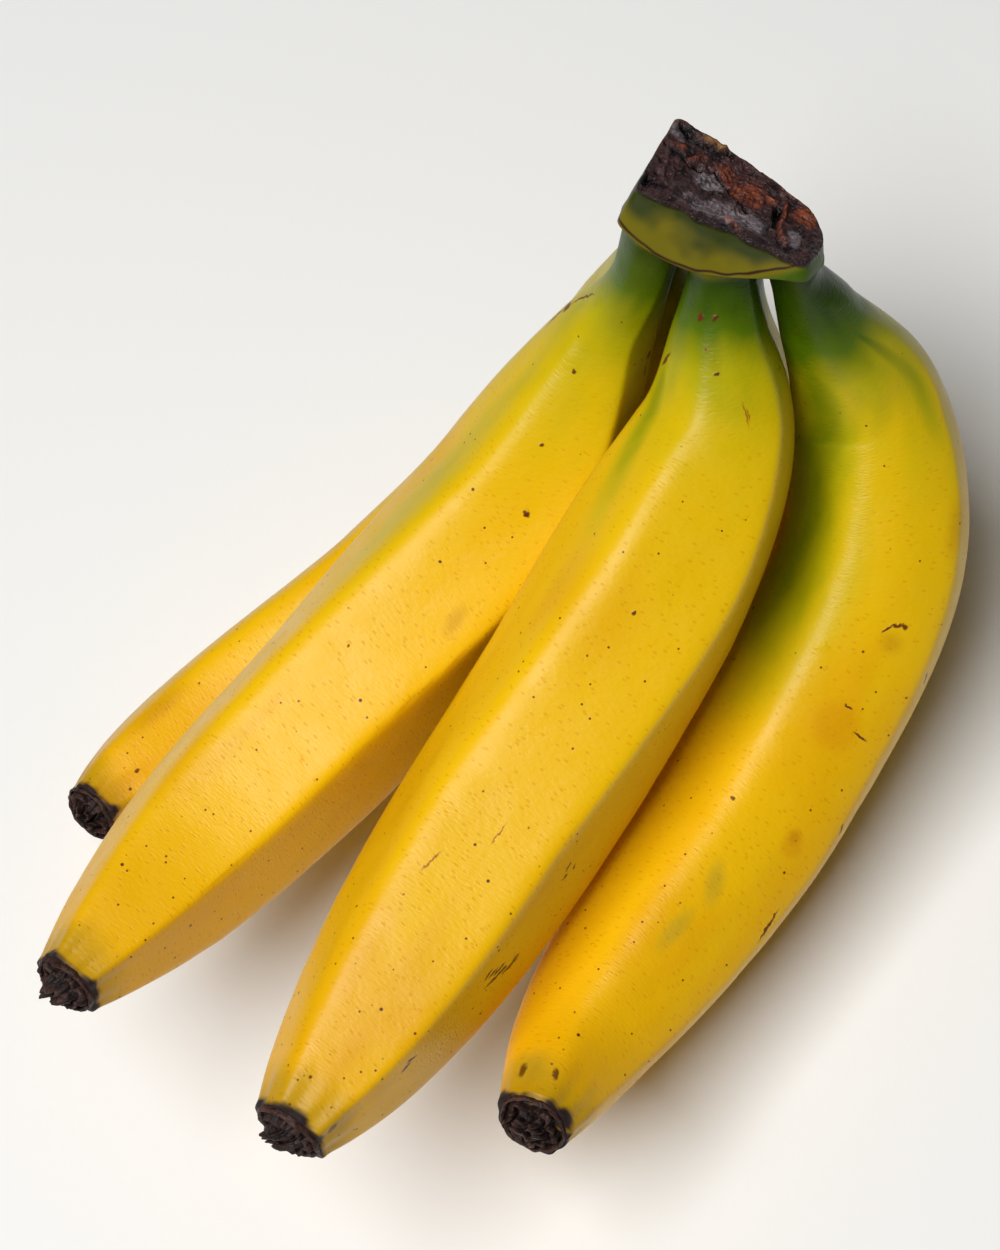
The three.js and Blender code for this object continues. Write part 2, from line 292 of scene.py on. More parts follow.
class StageSettings(bpy.types.PropertyGroup):
    floor: paint("Floor", "Colour of the floor", "#F7F7F5")
    key: FloatProperty(name="Key light", description="Power of the key light in watts", default=19)
    fill: FloatProperty(name="Fill", description="Strength of the light all round", default=0.03)


class BunchSettings(bpy.types.PropertyGroup):
    peel: PointerProperty(type=PeelSettings)
    crown: PointerProperty(type=CrownSettings)
    blossom: PointerProperty(type=BlossomSettings)
    stage: PointerProperty(type=StageSettings)


# Surfaces


def eased(low, high, x):
    """0 below low, 1 above high, and a smooth step between them."""
    t = np.clip((x - low) / (high - low), 0, 1)
    return t * t * (3 - 2 * t)


def unit(vectors):
    return vectors / np.linalg.norm(vectors, axis=-1, keepdims=True)


def lumps(points, size, seed):
    """Smooth lumps about size across, from -1 to 1: a seeded value on each corner of a cubic
    lattice, eased from corner to corner."""
    cell = np.asarray(points, float) / size
    low = np.floor(cell).astype(np.int64)
    part = cell - low
    part = part * part * (3 - 2 * part)
    total = np.zeros(cell.shape[:-1])
    for corner in np.ndindex(2, 2, 2):
        at = low + corner
        mixed = at[..., 0] * 73856093 ^ at[..., 1] * 19349663 ^ at[..., 2] * 83492791
        mixed = (mixed ^ (seed * 40503 + 977)) & 0x7FFFFFFF
        mixed = ((mixed ^ (mixed >> 13)) * 1274126177) & 0x7FFFFFFF
        mixed = (mixed ^ (mixed >> 15)) & 0xFFFF
        weight = np.prod(np.where(corner, part, 1 - part), axis=-1)
        total += weight * (mixed / 32767.5 - 1)
    return total


def rounded_polygon(angle, sides, sharpness):
    """Distance from the middle to the edge of a polygon with rounded corners, in the direction of
    an angle: each side [degrees, distance] adds its facing share raised to the sharpness."""
    total = 0
    for degrees, distance in sides:
        facing = np.maximum(0, np.cos(angle - np.radians(degrees)))
        total = total + (facing / distance) ** sharpness
    return total ** (-1 / sharpness)


def middle_line(points, count):
    """A smooth line through the points, a centripetal Catmull-Rom spline, at count places evenly
    spaced along it, with its whole length."""
    points = np.asarray(points, float)
    points = np.vstack([2 * points[0] - points[1], points, 2 * points[-1] - points[-2]])
    pieces = []
    for i in range(1, len(points) - 2):
        p0, p1, p2, p3 = points[i - 1 : i + 3]
        d0, d1, d2 = (np.linalg.norm(b - a) ** 0.5 for a, b in ((p0, p1), (p1, p2), (p2, p3)))
        t1 = ((p1 - p0) / d0 - (p2 - p0) / (d0 + d1) + (p2 - p1) / d1) * d1
        t2 = ((p2 - p1) / d1 - (p3 - p1) / (d1 + d2) + (p3 - p2) / d2) * d1
        t = np.linspace(0, 1, 60)[:, None]
        cubic = 2 * p1 - 2 * p2 + t1 + t2
        square = -3 * p1 + 3 * p2 - 2 * t1 - t2
        piece = p1 + t1 * t + square * t**2 + cubic * t**3
        pieces.append(piece if i == len(points) - 3 else piece[:-1])
    line = np.vstack(pieces)
    gone = np.r_[0, np.cumsum(np.linalg.norm(np.diff(line, axis=0), axis=1))]
    at = np.linspace(0, gone[-1], count)
    return np.stack([np.interp(at, gone, line[:, k]) for k in range(3)], -1), gone[-1]


def girth(banana, share):
    """Radius of a banana at a share of its length: the neck swells to the full body, and the body
    tapers to the tip."""
    along = share - banana["late"] * np.sin(np.pi * share)
    start, end = banana["swell"]
    x = np.clip((along - start) / (end - start), 0, 1)
    rise = 1 - (1 - x) ** 4 * (1 + 4 * x)
    y = np.maximum(0, (along - TAPER_START) / (1 - TAPER_START))
    body = NECK_SHARE + (1 - NECK_SHARE) * rise
    return banana["radius"] * body * (1 - (1 - TIP_SHARE) * y**TAPER_POWER)


def frames(banana, count):
    """Places along a banana's middle line with the ways forward, up and sideways at each."""
    line, whole = middle_line(banana["spine"], count)
    forward = unit(np.gradient(line, axis=0))
    side = unit(np.cross(forward, HOLLOW_SIDE))
    return line, forward, np.cross(side, forward), side, whole


def crown_axes():
    z = unit(CROWN_CUT_NORMAL)
    y = unit(np.cross(z, CROWN_LONG_AXIS))
    return np.stack([np.cross(y, z), y, z])


def in_crown(points):
    """Points in the crown's own directions: along it, towards its back, and up out of the cut."""
    return (points - CROWN_CENTRE) @ crown_axes().T


def from_crown(points):
    return points @ crown_axes() + CROWN_CENTRE


def line_depth(x, y):
    """How far below the cut the necks part from the crown: an arch that slopes down to the back."""
    arch = CROWN_ARCH * ((x + CROWN_ARCH_OFFSET) / CROWN_HALF_LENGTH) ** 2
    return CROWN_DEPTH + CROWN_BACK_SLOPE * y - arch


def crown_depth(x, y):
    """The depth of the crown's underside: the parting line, eased out to a thin end."""
    free = line_depth(x, y) - CROWN_END_DEPTH
    return CROWN_END_DEPTH + (free + np.hypot(free, CROWN_END_EASE)) / 2


def crown_reach(x, y):
    """Distance outside the crown's outline, less than 0 inside it."""
    angle = np.arctan2(y, x)
    return np.hypot(x, y) - rounded_polygon(angle, CROWN_SIDES, CROWN_CORNER_SHARPNESS) - CROWN_SWELL


def to_neck(points, banana):
    """Distance from points to the skin of a banana's neck, from the nearest place on its line."""
    line = frames(banana, NECK_STEPS)[0]
    radius = girth(banana, np.linspace(0, 1, NECK_STEPS))
    near = int(NECK_STEPS * NECK_PART)
    reach = np.full(points.shape[:-1], np.inf)
    for centre, r in zip(line[:near], radius[:near]):
        reach = np.minimum(reach, np.linalg.norm(points - centre, axis=-1) - r)
    return reach


def to_crown(points):
    """Distance from points to the crown: the larger of how far they are outside its outline and
    how far below its underside."""
    x, y, z = np.moveaxis(in_crown(points), -1, 0)
    return np.maximum(crown_reach(x, y), -z - crown_depth(x, y))


def grown_out(near, reach):
    """How far skin stands out where it grows together with its neighbours: a quarter of the reach
    where they touch, falling to nothing at the reach."""
    return reach / 4 * np.clip(1 - np.maximum(near, 0) / reach, 0, 1) ** 2


def grid_normals(rings):
    """Outward directions on a grid of rings that close on themselves."""
    along = np.gradient(rings, axis=0)
    around = np.roll(rings, -1, axis=1) - np.roll(rings, 1, axis=1)
    return unit(np.cross(around, along) + 1e-12)


def closed_skin(name, rings, first, last, tones, vectors, body, nodes):
    """A closed mesh from rings of points in millimetres, with a point at either end. Tones and
    vectors are attributes on the same grid; the end points take the mean of the ring next to them.
    It rides on a body and stands for the named nodes, which it hides."""
    rows, count = rings.shape[:2]
    points = np.vstack([rings.reshape(-1, 3), first, last]) * MM
    i = np.arange(count)
    after = (i + 1) % count
    base = np.arange(rows - 1)[:, None] * count
    quads = np.stack([base + i, base + after, base + after + count, base + i + count], -1)
    start, end = rows * count, rows * count + 1
    caps = np.vstack([
        np.stack([np.full(count, start), after, i], -1),
        np.stack([(rows - 1) * count + i, (rows - 1) * count + after, np.full(count, end)], -1),
    ])
    mesh = bpy.data.meshes.new(name)
    mesh.from_pydata(points.tolist(), [], quads.reshape(-1, 4).tolist() + caps.tolist())
    mesh.polygons.foreach_set("use_smooth", np.ones(len(mesh.polygons), bool))
    for key, values in tones.items():
        values = np.broadcast_to(values, (rows, count))
        full = np.r_[values.ravel(), values[0].mean(), values[-1].mean()]
        mesh.attributes.new(key, "FLOAT", "POINT").data.foreach_set("value", full.astype(np.float32))
    for key, values in vectors.items():
        full = np.vstack([values.reshape(-1, 3), values[0].mean(0), values[-1].mean(0)])
        attribute = mesh.attributes.new(key, "FLOAT_VECTOR", "POINT")
        attribute.data.foreach_set("vector", full.astype(np.float32).ravel())
    mesh.update()
    piece = bpy.data.objects.new(name, mesh)
    bpy.context.scene.collection.objects.link(piece)
    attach(piece, body)
    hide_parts(*nodes)
    return piece


def neck_skin(neck, banana, join):
    """The skin of a neck drawn in under the cut and inside the crown's outline, and grown together
    with the crown and the other necks below it."""
    place = in_crown(neck)
    x, y = place[..., 0], place[..., 1]
    z = np.minimum(place[..., 2], -NECK_SINK)
    below = -z - crown_depth(x, y)
    outside = np.maximum(0, crown_reach(x, y) + np.where(below < 0, 0.5, 0.0) + 0.15)
    hold = 1 - eased(0, 9, below)
    shrink = 1 - hold * outside / np.maximum(np.hypot(x, y), 1)
    neck = from_crown(np.stack([x * shrink, y * shrink, z], -1))
    near = to_crown(neck)
    for other in BANANAS.values():
        if other is not banana:
            near = np.minimum(near, to_neck(neck, other))
    swell = grown_out(near, join) * eased(-0.6, 0.6, below) * (1 - eased(3, 12, below))
    return neck + swell[..., None] * grid_normals(neck)


def green_map(banana, share, angle, straight, seed):
    """How green the peel is: most at the crown, fading along the neck, with the banana's own
    streaks, softly mottled along its length."""
    green = np.interp(share / banana["green_reach"], GREEN_PLACES, GREEN_SHARES) + 0 * angle
    for from_share, from_angle, to_share, to_angle, width, strength in banana["streaks"]:
        t = np.clip((share - from_share) / (to_share - from_share), 0, 1)
        centre = from_angle + (to_angle - from_angle) * t
        off = (np.degrees(angle) - centre + 180) % 360 - 180
        ends = eased(from_share - 0.06, from_share + 0.03, share)
        ends = ends * (1 - eased(to_share - 0.22, to_share + 0.02, share))
        green = np.maximum(green, strength * np.exp(-((off / width) ** 2)) * ends)
    mottle = 0.7 * lumps(straight / [1, 1, 4], 4, seed)
    mottle = mottle + 0.3 * lumps(straight / [1, 1, 3], 1.6, seed + 1)
    return green + 0.12 * mottle * eased(0.02, 0.3, green)


def banana_grid(banana, settings, seed):
    """A banana's skin: rings round its middle line with the reach of a rounded pentagon times the
    girth, its first ridge the sharpest, with a crest on each ridge, slow waves, a bell where the
    banana is fuller, and creases at the tip. The same grid holds the slow tones of the peel as
    shares from 0 to 1."""
    rows, columns = settings.rows, settings.columns
    line, forward, up, side, whole = frames(banana, rows)
    share = np.linspace(0, 1, rows)[:, None]
    angle = np.linspace(0, 2 * np.pi, columns, endpoint=False)[None, :]
    turn = np.radians(np.interp(share, RIDGE_TURN_PLACES, banana["ridge_turn"]))
    sides = [((i + 0.5) * 360 / RIDGES, 1) for i in range(RIDGES)]
    from_first = (np.degrees(angle - turn) + 180) % 360 - 180
    sharper = FIRST_RIDGE_SHARPER * np.exp(-((from_first / FIRST_RIDGE_REACH) ** 2))
    pentagon = rounded_polygon(angle - turn, sides, RIDGE_SHARPNESS + sharper)
    pentagon = pentagon / (SECTION_EVENING + SHARPER_WIDENING * sharper)
    deep = NECK_ANGULARITY + (1 - NECK_ANGULARITY) * eased(*ANGULAR_PLACES, share)
    deep = deep * banana.get("angular", 1)
    reach = girth(banana, share) * (1 + deep * (pentagon - 1))
    to_tip = (1 - share) * whole

    straight = np.stack(np.broadcast_arrays(
        reach * np.cos(angle), reach * np.sin(angle), share * whole
    ), -1)
    step = 2 * np.pi / RIDGES
    off = (angle - turn + step / 2) % step - step / 2
    worn = 0.75 + 0.35 * lumps(straight / [1, 1, 4], 9, seed)
    worn = worn * (0.25 + 0.75 * (np.abs(from_first) < 180 / RIDGES))
    crest = np.exp(-((off * reach / (settings.crest_width / MM)) ** 2)) * worn
    crest = crest * eased(0.06, 0.3, share) * (1 - eased(0.93, 1.0, share))
    reach = reach + settings.crest / MM * crest
    reach = reach + settings.waves / MM * lumps(straight, 26, seed + 1) * eased(0.1, 0.3, share)
    reach = reach + 0.07 * lumps(straight, 5, seed + 2)
    fullest, degrees, rise = banana.get("fuller", (0.5, 0, 0))
    facing = np.maximum(0, np.cos(angle - np.radians(degrees)))
    reach = reach + rise * facing**2 * np.exp(-(((share - fullest) / FULLER_REACH) ** 2))
    creases = np.cos(11 * angle + 2 * lumps(straight, 12, seed + 3))
    reach = reach + 0.16 * creases * (1 - eased(1, 12, to_tip))
    reach = reach + 0.3 * np.exp(-((to_tip / 1.1) ** 2))
    rings = line[:, None] + reach[..., None] * (
        np.cos(angle)[..., None] * up[:, None] + np.sin(angle)[..., None] * side[:, None]
    )
    near = slice(0, int(rows * NECK_PART))
    rings[near] = neck_skin(rings[near], banana, settings.join / MM)
    rings[..., 2] = np.maximum(rings[..., 2], 0)

    green = green_map(banana, share, angle, straight, seed + 4)
    place = in_crown(rings)
    under = -place[..., 2] - line_depth(place[..., 0], place[..., 1])
    under = under + 0.5 * lumps(rings, 2.4, seed + 6)
    patches = 0.6 * lumps(straight / [1, 1, 1.8], 15, seed + 7)
    patches = patches + 0.4 * lumps(straight / [1, 1, 5], 4, seed + 8)
    ragged = to_tip + 1.3 * lumps(straight, 3.5, seed + 9) + 0.5 * lumps(straight, 1.3, seed + 10)
    broken = eased(-0.3, 0.5, lumps(straight / [1, 1, 5], 2.4, seed + 11))
    ripe = 1 - eased(0.08, 0.3, green)
    tones = {
        "green": green,
        "ripe": ripe,
        "ochre": ripe * (0.34 * eased(-0.1, 0.8, patches) + 0.3 * (1 - eased(6, 50, to_tip))),
        "rubbed": 0.5 * eased(0.7, 1.0, crest) * broken * (1 - eased(0.1, 0.5, green)),
        "stale": 0.45 * (1 - eased(1.5, 10, ragged)),
        "dry": 1 - eased(0.4, 1.5, ragged),
        "specked": 0.26 + 0.6 * (1 - eased(8, 60, to_tip)) + 0 * angle,
        "pale": 0.4 * (1 - eased(0.8, 3.2, under)),
        "parting": 1 - eased(0.15, 0.5, under),
    }
    return rings, line, tones, {"straight": straight * MM}


# The dried cut in millimetres, in the crown's own directions: lines, each with its corners, half
# width, rise and tint, and patches, each with its middle, its half widths and its tint. The hollow
# lines are sunken cracks painted near black: painted shade.
CUT_LINES = [
    ([(-12.2, 15.6), (-9, 14.3), (-5.9, 12.6), (-3.2, 10.8)], 0.75, 0.6, "torn"),
    ([(-3, 11), (0.2, 10.5), (5.9, 9.3), (10.6, 8), (15, 4.5)], 0.35, 0.4, "torn"),
    ([(-10.6, 12.4), (-9.2, 11.3), (-6.6, 9.9), (-4.4, 9.7)], 0.75, -1.5, "hollow"),
    ([(-1.8, 9.6), (3.3, 8.9), (7.5, 7.5), (10.4, 6.6)], 0.45, -1.1, "hollow"),
    ([(-12.6, 5.3), (-9.4, 4.6), (-7.7, 3.3), (-5.4, 3.8)], 0.55, -1.4, "hollow"),
    ([(-11, 6.9), (-9.6, 6.5)], 0.6, 0.6, "rust"),
    ([(-8.2, 4.8), (-5.4, 5.8)], 0.35, 0.5, "rust"),
    ([(-11.9, 3.4), (-11, -6.4)], 0.65, 0.9, "cut"),
    ([(-10.1, 2.6), (-8.7, -10.4)], 0.75, 0.9, "cut"),
    ([(-13.6, -5.9), (-13.4, -9.2)], 0.9, -1.5, "hollow"),
    ([(10.8, 2.8), (10.8, -5.7), (13, -11.3)], 0.4, 0.7, "rust"),
    ([(9.9, 1.6), (9.8, -5.2)], 0.5, -0.9, "hollow"),
    ([(-2.8, 4.2), (1, 0.8), (4.4, -3.4)], 0.4, -0.5, "hollow"),
    ([(1.6, -8.4), (3.6, -10.6)], 0.5, 0.6, "rust"),
]
# The bloom patches lie where the cut glints: grey bloom, partly painted reflection.
CUT_PATCHES = [
    (3.4, 1.9, 3.4, 3.4, "rust"), (-1.4, 5.4, 2.4, 1.5, "rust"), (7.8, 2.7, 1.8, 0.9, "rust"),
    (14.4, 1.4, 2.7, 3.8, "rust"), (11.6, 5.4, 2.3, 1.3, "rust"), (0.4, -7.4, 9.5, 3.6, "bloom_and_glint"),
    (13.2, -8, 1.8, 3.2, "bloom_and_glint"), (-11.6, 10.6, 2.3, 2.3, "bloom_and_glint"), (-3.8, 1, 3.4, 2.6, "bloom_and_glint"),
]


def from_line(x, y, corners):
    """Distance from places to a line through the corners."""
    away = np.full(np.shape(x), np.inf)
    for (ax, ay), (bx, by) in zip(corners[:-1], corners[1:]):
        dx, dy = bx - ax, by - ay
        t = np.clip(((x - ax) * dx + (y - ay) * dy) / (dx * dx + dy * dy), 0, 1)
        away = np.minimum(away, np.hypot(x - ax - t * dx, y - ay - t * dy))
    return away


def smooth_cut(y, share):
    """Height of the cut before it dried: a dish with a lip along its back."""
    return CUT_BACK_LIP * eased(0, CROWN_HALF_WIDTH, y) - CUT_DISH * (1 - share**4)


def cut_relief(x, y, share):
    """Height of the dried cut: the smooth cut with its lines, each a bell across its width, and
    rough lumps all over, finer and finer."""
    place = np.stack([x, y, 0 * x], -1)
    bend_x, bend_y = 0.5 * lumps(place, 2.2, 61), 0.5 * lumps(place, 2.2, 62)
    inside = 1 - eased(0.93, 1.0, share)
    height = smooth_cut(y, share)
    for corners, width, rise, _ in CUT_LINES:
        bell = np.exp(-((from_line(x + bend_x, y + bend_y, corners) / width) ** 2))
        height = height + rise * bell * (0.8 + 0.4 * lumps(place, 1.8, 63)) * (inside if rise < 0 else 1)
    rough = 0.4 * lumps(place, 3.6, 64) + 0.32 * (1 - 2 * np.abs(lumps(place, 1.9, 65)))
    rough = rough + 0.2 * (1 - 2 * np.abs(lumps(place, 0.9, 66))) + 0.06 * lumps(place, 0.5, 67)
    return height + rough * (0.3 + 0.7 * inside)


def cut_tints(x, y, share):
    """Shares of the cut's tints: bells across its lines and ragged ovals for its patches."""
    place = np.stack([x, y, 0 * x], -1)
    bend_x, bend_y = 0.5 * lumps(place, 2.2, 61), 0.5 * lumps(place, 2.2, 62)
    ragged = 0.35 * lumps(place, 2.6, 68) + 0.25 * lumps(place, 1.1, 69)
    tints = {name: np.zeros(np.shape(x)) for name in ("bloom_and_glint", "rust", "torn", "hollow", "cut")}
    for across, back, wide, long, name in CUT_PATCHES:
        away = np.hypot((x - across) / wide, (y - back) / long) + ragged
        tints[name] = np.maximum(tints[name], 1 - eased(0.6, 1.15, away))
    # Lines lay their tints; the tint of the hollow lines is painted shade in the cracks.
    for corners, width, _, name in CUT_LINES:
        away = from_line(x + bend_x, y + bend_y, corners) / width
        tints[name] = np.maximum(tints[name], np.exp(-(away**2)))
    tints["torn"] = np.maximum(tints["torn"], 0.3 * eased(0.965, 0.99, share) * eased(0, 4, y))
    return tints


def crown_grid(settings, join):
    """The crown's skin: rings over its underside, up its swelling sides to the cut edge, and in
    over the relief of the cut. The underside grows together with the necks."""
    angle = np.linspace(0, 2 * np.pi, CROWN_COLUMNS, endpoint=False)
    circle = 12 * np.stack([np.cos(angle), np.sin(angle), 0 * angle], -1)
    outline = rounded_polygon(angle, CROWN_SIDES, CROWN_CORNER_SHARPNESS) + 0.25 * lumps(circle, 3, 71)

    under = np.linspace(0.06, 0.94, UNDER_RINGS)
    down = np.linspace(1, 0, SIDE_RINGS)
    over = np.linspace(0.985, 0.015, CUT_RINGS)
    share = np.r_[under, np.ones(SIDE_RINGS), over][:, None] + 0 * angle
    side = np.r_[np.ones(UNDER_RINGS), down, np.zeros(CUT_RINGS)][:, None] + 0 * angle
    on_top = (np.arange(len(share)) >= UNDER_RINGS + SIDE_RINGS)[:, None] + 0 * angle
    lip = 0.1 * np.exp(-((10 * side - 0.5) ** 2)) * (share == 1)
    reach = share * (outline + CROWN_SWELL * np.sin(side * np.pi / 2) + lip)
    x, y = reach * np.cos(angle), reach * np.sin(angle)
    top = settings.relief * cut_relief(x, y, share)
    place = np.stack([x, y, np.where(side == 1, 0, (1 - side) * top) - side * crown_depth(x, y)], -1)
    rings = from_crown(place)

    near = np.min([to_neck(rings, banana) for banana in BANANAS.values()], axis=0)
    swell = 0.7 * grown_out(near, join) * eased(0.75, 1.0, side)
    rings = rings + swell[..., None] * grid_normals(rings)

    z = place[..., 2]
    below_edge = -z + CUT_BACK_LIP * eased(0, CROWN_HALF_WIDTH, y) + 0.5 * lumps(rings, 3, 72)
    below_line = -z - line_depth(x, y)
    near_top = np.maximum(on_top, 1 - side)
    tints = cut_tints(x, y, share)
    tones = {name: near_top * tints[name] for name in tints}
    tones["on_cut"] = np.maximum(on_top, 1 - eased(0.5, 1.1, below_edge))
    down_side = below_edge / np.maximum(line_depth(x, y), 1)
    mottle = 0.25 * lumps(rings, 5, 73) + 0.15 * lumps(rings, 2, 75)
    tones["mossy"] = 1 - eased(0.2, 0.85, down_side + mottle)
    tones["neck"] = eased(0.4, 2.5, below_line)
    tones["parting"] = 1 - eased(0.12, 0.42, np.abs(below_line + 0.35 * lumps(rings, 2.4, 74)))
    # deep is painted shade: the cut goes near black where its relief sinks below the smooth cut. On the
    # sides it is 0.6, which darkens the cut colour reaching just under the edge.
    depth = z - smooth_cut(y, share)
    tones["deep"] = np.where(on_top, 1 - eased(-1.1, -0.2, depth), 0.6)
    return rings, tones, {"crown_place": place * MM}


# Blossom end: reach and height of each step of its profile, as shares of the tip's radius, and how
# pale its edge is there: a rim, a torn ring inside it and the dry stub of the flower. Paleness is
# highest on the raised rim, ring and stub top and nothing in the recesses between them, which keep
# the near-black husk colour as painted shade.
BLOSSOM_PROFILE = np.array([
    [0.06, -0.12, 0], [0.5, -0.12, 0], [0.86, -0.1, 0.2], [0.95, -0.02, 0.5], [0.96, 0.08, 0.9],
    [0.92, 0.15, 1], [0.87, 0.11, 0.6], [0.82, -0.02, 0.1], [0.77, -0.05, 0], [0.72, 0.05, 0.2],
    [0.7, 0.2, 0.6], [0.65, 0.28, 0.9], [0.59, 0.22, 0.4], [0.54, 0.08, 0], [0.5, 0.14, 0.1],
    [0.43, 0.28, 0.2], [0.39, 0.4, 0.3], [0.34, 0.5, 0.5], [0.27, 0.55, 0.8], [0.2, 0.52, 0.5],
    [0.14, 0.44, 0.2], [0.05, 0.4, 0],
])
BLOSSOM_RINGS = 112
BLOSSOM_COLUMNS = 120


def blossom_grid(banana, seed):
    """A dry blossom end: its profile turned round the banana's axis, pulled into five uneven lobes
    with fine fins along its height, torn by lumps, with the stub leaning over."""
    line, forward, up, side, _ = frames(banana, 300)
    radius = girth(banana, 1.0) * 1.03
    steps = np.linspace(0, len(BLOSSOM_PROFILE) - 1, BLOSSOM_RINGS)
    known = np.arange(len(BLOSSOM_PROFILE))
    reach, height, pale = (
        np.interp(steps, known, BLOSSOM_PROFILE[:, k])[:, None] for k in range(3)
    )
    angle = np.linspace(0, 2 * np.pi, BLOSSOM_COLUMNS, endpoint=False)[None, :]
    base = 6 * np.stack(np.broadcast_arrays(
        reach * np.cos(angle), reach * np.sin(angle), height
    ), -1)
    rim = eased(0.74, 0.9, reach)
    inner = 1 - rim
    around = 6 * np.stack([np.cos(angle[0]), np.sin(angle[0]), 0 * angle[0]], -1)
    lobes = np.cos(RIDGES * angle + 1.3 * lumps(around, 5, seed))
    fins = np.cos(2 * RIDGES * angle + 2 + 2 * lumps(around, 4, seed + 1))
    fins = fins + 0.6 * np.cos(23 * angle + 3 * lumps(around, 3, seed + 2))
    top = eased(-0.05, 0.15, height)
    reach = reach * (1 + (0.02 * rim + 0.13 * inner) * lobes + 0.07 * inner * fins * top)
    reach = reach + (0.05 * inner + 0.02) * lumps(base, 1.5, seed + 3) + 0.02 * lumps(base, 0.7, seed + 4)
    ragged = 0.3 * lumps(around, 2.6, seed + 5) + 0.16 * lumps(around, 1.1, seed + 6)
    height = height * (1 + ragged * top) + 0.05 * lumps(base, 1.1, seed + 7) * top
    lean = 2 * np.pi * (seed % 7) / 7
    stub = 0.3 * eased(0.2, 0.8, height) * inner
    across = reach * np.cos(angle) + stub * np.cos(lean)
    over = reach * np.sin(angle) + stub * np.sin(lean)
    rings = line[-1] + radius * (
        across[..., None] * up[-1] + over[..., None] * side[-1] + height[..., None] * forward[-1]
    )
    # Pale follows the profile and the fins: the raised parts get lighter, and the recesses stay dark as
    # painted shade.
    pale = np.clip(pale * (0.7 + 0.5 * lumps(base, 1.6, seed + 8)) + 0.15 * fins * top * inner, 0, 1)
    return rings, {"pale": pale}


# Materials


def add(tree, kind, inputs=(), out=0, stops=(), **settings):
    """Adds one shader node with its settings, the stops of its colour ramp and its inputs, each a
    value or another node's output, and returns the output that is used, or the node for None."""
    node = tree.nodes.new("ShaderNode" + kind)
    for key, value in settings.items():
        setattr(node, key, value)
    for count, (place, colour) in enumerate(stops):
        marks = node.color_ramp.elements
        mark = marks[count] if count < len(marks) else marks.new(place)
        mark.position, mark.color = place, (*colour, 1)
    for key, value in inputs.items() if isinstance(inputs, dict) else enumerate(inputs):
        named = [socket for socket in node.inputs if socket.identifier == key]
        socket = named[0] if named else node.inputs[key]
        if isinstance(value, bpy.types.NodeSocket):
            tree.links.new(value, socket)
        elif socket.type == "RGBA":
            socket.default_value = (*value[:3], 1)
        else:
            socket.default_value = value
    if out is None or not node.outputs:
        return node
    named = [socket for socket in node.outputs if socket.identifier == out]
    return named[0] if named else node.outputs[out]


def new_material(name, tones=()):
    """An empty material, with the named tones of its piece as a dictionary of outputs."""
    material = bpy.data.materials.new(name)
    material.use_nodes = True
    tree = material.node_tree
    tree.nodes.clear()
    return material, tree, {
        tone: add(tree, "Attribute", out="Fac", attribute_name=tone) for tone in tones
    }


def painted(tree, colour, coats):
    """A colour with coats of other colours laid over it in order, each with its share."""
    for share, tint in coats:
        colour = add(
            tree, "Mix", {"Factor_Float": share, "A_Color": colour, "B_Color": tint},
            "Result_Color", data_type="RGBA",
        )
    return colour


def embossed(tree, reliefs):
    """The normal of a surface with reliefs, each a pattern from 0 to 1 and its height in metres."""
    height = 0.0
    for pattern, rise in reliefs:
        height = add(tree, "Math", [pattern, rise, height], operation="MULTIPLY_ADD")
    return add(tree, "Bump", {"Height": height, "Distance": 1.0, "Strength": 1.0})


def finished(tree, settings):
    """Ends a material in one principled shader."""
    shader = add(tree, "BsdfPrincipled", settings)
    add(tree, "OutputMaterial", {"Surface": shader})


def mark_share(tree, place, banana, mark, softness):
    """1 inside an oval mark on the skin and 0 outside it: the skin is laid out straight, moved and
    turned so that the mark is a unit circle, and measured from its middle."""
    _, share, degrees, length_mm, width_mm, turn = mark
    angle = math.radians(degrees)
    radius = float(girth(banana, share)) * MM
    along = share * middle_line(banana["spine"], 2)[1] * MM
    local = add(tree, "Mapping", {
        "Vector": place,
        "Location": (radius * math.cos(angle), radius * math.sin(angle), along),
        "Rotation": (-math.radians(turn), 0, angle),
        "Scale": (0.05, width_mm / 2 * MM, length_mm / 2 * MM),
    }, vector_type="TEXTURE")
    away = add(tree, "VectorMath", {"Vector": local}, "Value", operation="LENGTH")
    return add(tree, "MapRange", [away, 1 + softness, 1 - softness], interpolation_type="SMOOTHSTEP")


